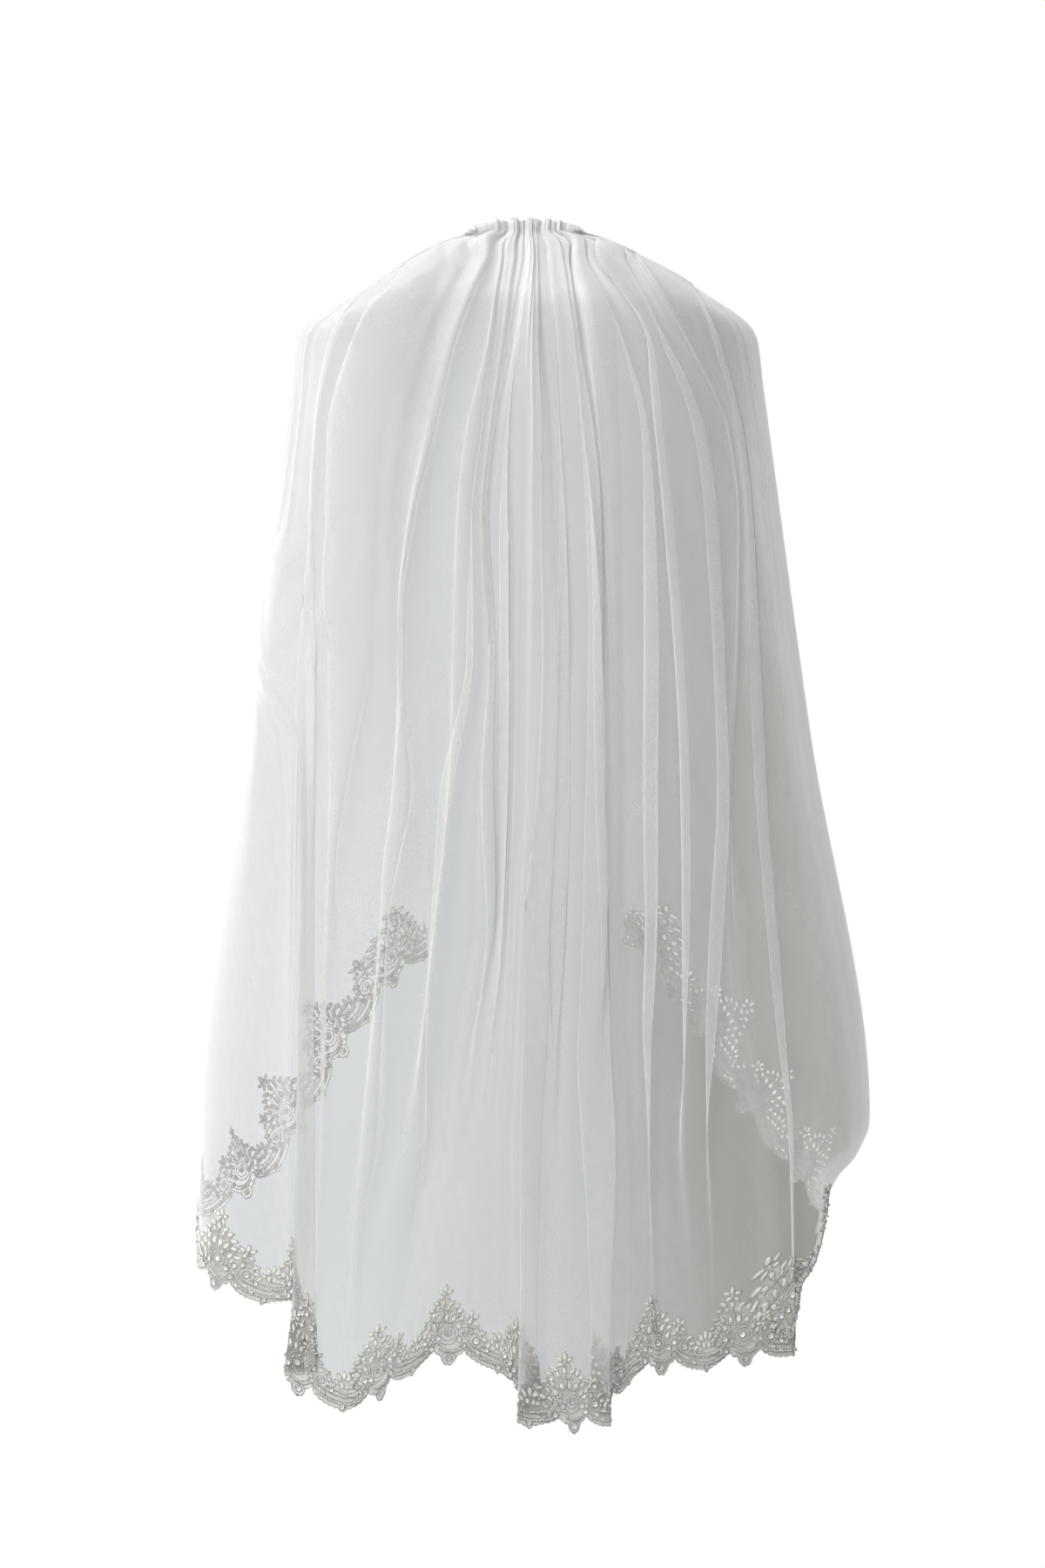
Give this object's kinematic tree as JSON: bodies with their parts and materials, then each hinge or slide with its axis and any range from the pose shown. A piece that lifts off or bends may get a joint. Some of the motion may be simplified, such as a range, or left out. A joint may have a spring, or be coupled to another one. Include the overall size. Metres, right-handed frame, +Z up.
{
  "type": "lace bridal veil",
  "caption": "Fingertip-length bridal veil of soft tulle gathered on a comb at the nape, draped over both shoulders, open at the front, with a scalloped lace trim along the hem.",
  "frame": {"origin": "middle of the comb, at the nape of the neck, where the veil is pushed into the hair", "axes": "+Z up, +Y towards the wearer's front, +X towards the wearer's right, so the picture looks along +Y at the back"},
  "size_m": [0.561, 0.2579, 0.9885],
  "materials": {
    "tulle_net": "fine soft net, see-through, with a slight sheen along the folds",
    "lace_satin": "satin thread and cord on net, with small clear beads and sequins",
    "comb_plastic": "clear-white moulded plastic"
  },
  "bodies": {
    "root": {"tulle": "tulle_net", "lace_trim": "lace_satin", "comb": "comb_plastic"}
  },
  "joints": []
}
